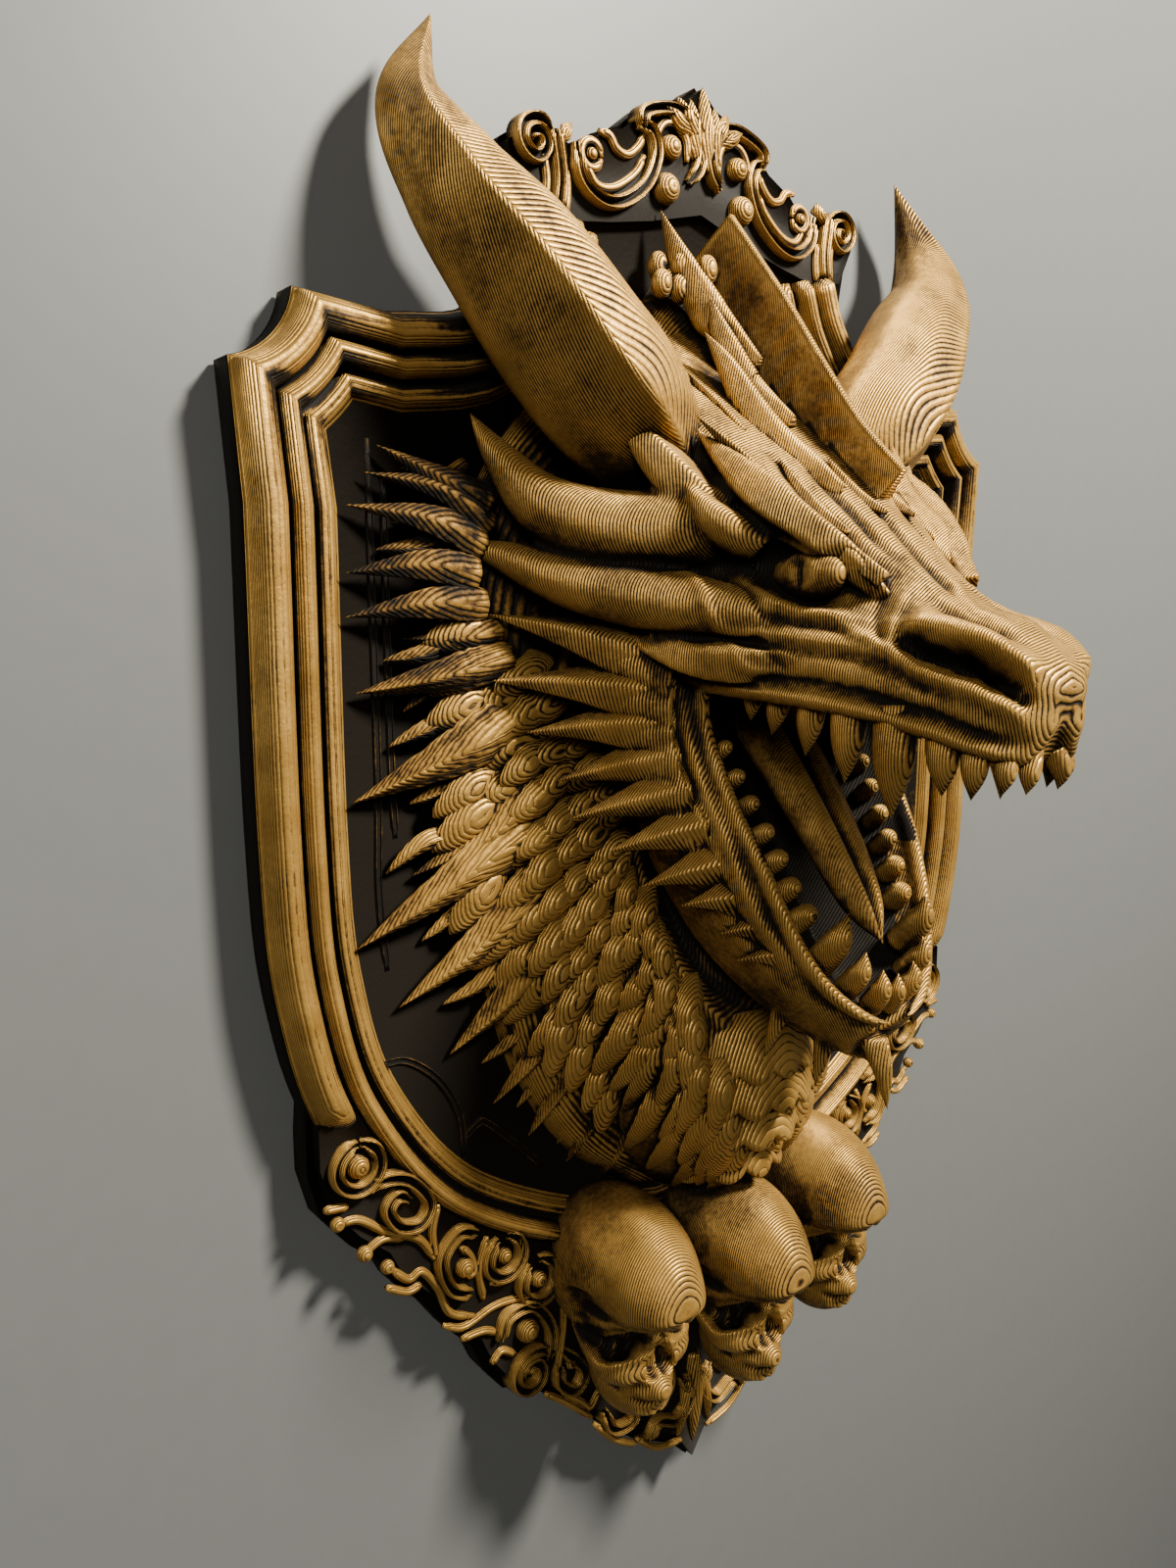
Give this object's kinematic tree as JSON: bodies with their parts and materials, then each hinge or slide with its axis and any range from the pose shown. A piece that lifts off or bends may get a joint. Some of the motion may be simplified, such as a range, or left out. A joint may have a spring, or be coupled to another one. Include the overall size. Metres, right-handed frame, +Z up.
{
  "type": "dragon wall plaque",
  "caption": "Shield-shaped wall plaque with a moulded frame and scrollwork, carrying a horned, open-mouthed dragon's head on a scaled neck above a row of skulls",
  "frame": {"origin": "Centre of the flat back, mid-way between the shield's upper and lower tips, on the wall plane", "axes": "+Z runs up to the shield's upper tip, +Y points into the wall, +X to the viewer's right"},
  "size_m": [0.134, 0.0614, 0.2],
  "materials": {
    "bronze_print": "black print dry-brushed with antique gold, with fine layer lines parallel to the wall"
  },
  "bodies": {
    "root": {"dragon_plaque": "bronze_print"}
  },
  "joints": []
}
